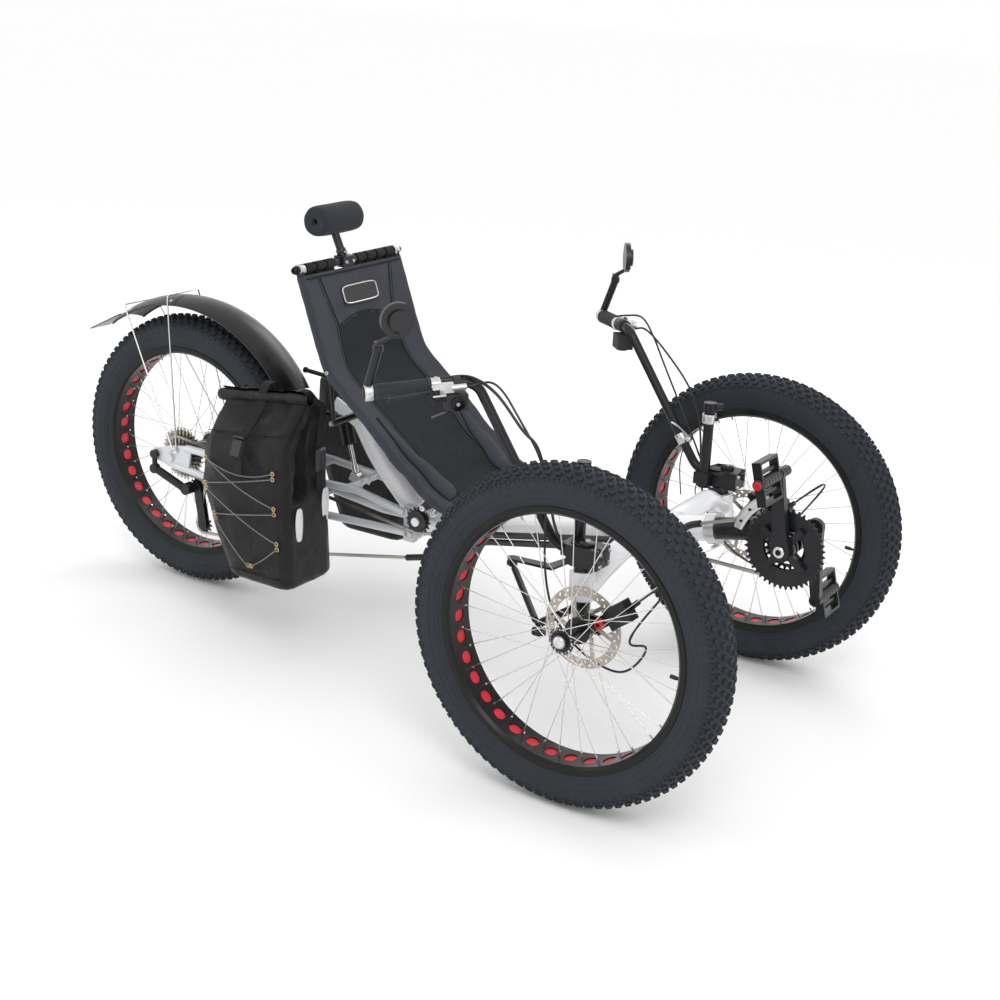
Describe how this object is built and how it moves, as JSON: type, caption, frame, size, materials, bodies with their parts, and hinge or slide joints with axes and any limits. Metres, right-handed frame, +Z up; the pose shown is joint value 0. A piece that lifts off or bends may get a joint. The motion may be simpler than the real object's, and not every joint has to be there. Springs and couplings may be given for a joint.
{
  "type": "adult tricycle",
  "caption": "Recumbent tricycle with fat tyres, a reclined mesh seat, side steering bars, a sprung rear wheel, a chain drive and soft side bags.",
  "frame": {"origin": "on the ground, under the middle of the overall box", "axes": "+X forward along the wheelbase, +Y to the rider's left, +Z up"},
  "size_m": [2.204, 1.0664, 1.0959],
  "materials": {
    "frame_white": "gloss",
    "black_metal": "satin",
    "grey_metal": "gloss",
    "silver_alloy": "satin",
    "chrome": "polished",
    "steel": "brushed",
    "disc_steel": "brushed",
    "rim_black": "gloss",
    "tyre_rubber": "matt",
    "grip_rubber": "matt",
    "cable_black": "satin",
    "seat_mesh": "woven",
    "foam": "matt",
    "bag_fabric": "coated",
    "black_plastic": "satin",
    "fender_plastic": "satin"
  },
  "bodies": {
    "frame": {"main_frame": "frame_white", "boom_clamp": "silver_alloy", "cross_member": "frame_white", "seat_frame": "black_metal", "seat_cover": "seat_mesh", "headrest_pad": "foam", "pannier_left": "bag_fabric", "pannier_right": "bag_fabric", "chain_tubes": "black_plastic", "chain_middle": "steel"},
    "boom": {"boom": "black_metal", "front_derailleur": "black_metal", "chain_front": "steel"},
    "crank": {"crankset": "black_metal"},
    "pedal_left": {"pedal_left": "black_metal"},
    "pedal_right": {"pedal_right": "black_metal"},
    "idler": {"idler": "black_plastic"},
    "swingarm": {"swingarm": "grey_metal", "rear_fender": "fender_plastic", "fender_stays": "chrome", "rear_derailleur": "black_metal", "chain_rear": "steel"},
    "cassette": {"cassette": "steel"},
    "rear_wheel": {"tyre_rear": "tyre_rubber", "rim_rear": "rim_black", "spokes_rear": "chrome", "hub_rear": "black_metal"},
    "bell_crank": {"bell_crank": "black_metal"},
    "shock_body": {"shock_body": "black_metal"},
    "shock_shaft": {"shock_shaft": "chrome"},
    "front_wheel_left": {"tyre_front_left": "tyre_rubber", "rim_front_left": "rim_black", "spokes_front_left": "chrome", "hub_front_left": "black_metal", "brake_disc_front_left": "disc_steel"},
    "upright_left": {"steering_knuckle_left": "black_metal", "handlebar_left": "black_metal", "grip_left": "grip_rubber", "lever_body_left": "silver_alloy", "brake_caliper_left": "black_metal", "mirror_post_left": "black_metal", "brake_cable_left": "cable_black"},
    "brake_lever_left": {"brake_lever_left": "black_metal"},
    "mirror_left": {"mirror_left": "black_plastic"},
    "tie_rod_left": {"tie_rod_left": "black_metal"},
    "front_wheel_right": {"tyre_front_right": "tyre_rubber", "rim_front_right": "rim_black", "spokes_front_right": "chrome", "hub_front_right": "black_metal", "brake_disc_front_right": "disc_steel"},
    "upright_right": {"steering_knuckle_right": "black_metal", "handlebar_right": "black_metal", "grip_right": "grip_rubber", "lever_body_right": "silver_alloy", "brake_caliper_right": "black_metal", "mirror_post_right": "black_metal", "brake_cable_right": "cable_black"},
    "brake_lever_right": {"brake_lever_right": "black_metal"},
    "mirror_right": {"mirror_right": "black_plastic"},
    "tie_rod_right": {"tie_rod_right": "black_metal"}
  },
  "joints": [
    {"name": "boom_slide", "type": "slide", "parent": "frame", "child": "boom", "axis": [0.9799, 0, 0.1994], "range_m": [0, 0.04]},
    {"name": "crank_spin", "type": "hinge", "parent": "boom", "child": "crank", "pos_m": [1.016, 0, 0.52], "axis": [0, 1, 0], "continuous": true},
    {"name": "pedal_right_spin", "type": "hinge", "parent": "crank", "child": "pedal_right", "pos_m": [0.99528, -0.105, 0.68873], "axis": [0, 1, 0], "continuous": true},
    {"name": "pedal_left_spin", "type": "hinge", "parent": "crank", "child": "pedal_left", "pos_m": [1.03672, 0.105, 0.35127], "axis": [0, 1, 0], "continuous": true},
    {"name": "idler_spin", "type": "hinge", "parent": "frame", "child": "idler", "pos_m": [0.062, 0, 0.362], "axis": [0, 1, 0], "continuous": true},
    {"name": "swing", "type": "hinge", "parent": "frame", "child": "swingarm", "pos_m": [0.024, 0, 0.312], "axis": [0, 1, 0], "range_deg": [0, 8], "stiffness_Nm_per_rad": 1500, "springref_deg": -8.02},
    {"name": "cassette_spin", "type": "hinge", "parent": "swingarm", "child": "cassette", "pos_m": [-0.724, 0, 0.372], "axis": [0, 1, 0], "continuous": true},
    {"name": "rear_wheel_spin", "type": "hinge", "parent": "swingarm", "child": "rear_wheel", "pos_m": [-0.724, 0, 0.372], "axis": [0, 1, 0], "continuous": true},
    {"name": "shock_turn", "type": "hinge", "parent": "frame", "child": "shock_body", "pos_m": [-0.231, 0, 0.59], "axis": [0, 1, 0], "range_deg": [-7.5, 0.2]},
    {"name": "shock_slide", "type": "slide", "parent": "shock_body", "child": "shock_shaft", "axis": [-0.2649, 0, 0.9643], "range_m": [0, 0.0222]},
    {"name": "bell_crank_turn", "type": "hinge", "parent": "frame", "child": "bell_crank", "pos_m": [0.56426, 0, 0.392], "axis": [0, 0, 1], "range_deg": [-6, 6]},
    {"name": "steer_right", "type": "hinge", "parent": "frame", "child": "upright_right", "pos_m": [0.679, -0.345, 0.434], "axis": [-0.103, 0.1371, 0.9852], "range_deg": [-20, 20]},
    {"name": "front_wheel_right_spin", "type": "hinge", "parent": "upright_right", "child": "front_wheel_right", "pos_m": [0.724, -0.472, 0.372], "axis": [0, 1, 0], "continuous": true},
    {"name": "tie_rod_right_turn", "type": "hinge", "parent": "bell_crank", "child": "tie_rod_right", "pos_m": [0.416, -0.2, 0.378], "axis": [0, 0, 1], "range_deg": [-11, 11]},
    {"name": "brake_lever_right_pull", "type": "hinge", "parent": "upright_right", "child": "brake_lever_right", "pos_m": [0.35024, -0.43381, 0.81731], "axis": [0.0001, 0.129, -0.9916], "range_deg": [0, 13], "stiffness_Nm_per_rad": 1, "springref_deg": -11.46},
    {"name": "mirror_right_turn", "type": "hinge", "parent": "upright_right", "child": "mirror_right", "pos_m": [0.253, -0.514, 0.9135], "axis": [0, 0, 1], "range_deg": [-30, 30]},
    {"name": "steer_left", "type": "hinge", "parent": "frame", "child": "upright_left", "pos_m": [0.679, 0.345, 0.434], "axis": [-0.103, -0.1371, 0.9852], "range_deg": [-20, 20]},
    {"name": "front_wheel_left_spin", "type": "hinge", "parent": "upright_left", "child": "front_wheel_left", "pos_m": [0.724, 0.472, 0.372], "axis": [0, 1, 0], "continuous": true},
    {"name": "tie_rod_left_turn", "type": "hinge", "parent": "bell_crank", "child": "tie_rod_left", "pos_m": [0.416, 0.2, 0.378], "axis": [0, 0, 1], "range_deg": [-11, 11]},
    {"name": "brake_lever_left_pull", "type": "hinge", "parent": "upright_left", "child": "brake_lever_left", "pos_m": [0.35024, 0.43381, 0.81731], "axis": [-0.0001, 0.129, 0.9916], "range_deg": [0, 13], "stiffness_Nm_per_rad": 1, "springref_deg": -11.46},
    {"name": "mirror_left_turn", "type": "hinge", "parent": "upright_left", "child": "mirror_left", "pos_m": [0.253, 0.514, 0.9135], "axis": [0, 0, 1], "range_deg": [-30, 30]}
  ],
  "couplings": [
    {"joint": "idler_spin", "follows": "crank_spin", "ratio": -2.25},
    {"joint": "cassette_spin", "follows": "crank_spin", "ratio": 1.5},
    {"joint": "shock_turn", "follows": "swing", "ratio": -0.92},
    {"joint": "shock_slide", "follows": "swing", "m_per_rad": 0.157},
    {"joint": "steer_left", "follows": "steer_right", "ratio": 1},
    {"joint": "bell_crank_turn", "follows": "steer_right", "ratio": 0.288},
    {"joint": "tie_rod_right_turn", "follows": "steer_right", "ratio": -0.525},
    {"joint": "tie_rod_left_turn", "follows": "steer_right", "ratio": -0.525}
  ]
}
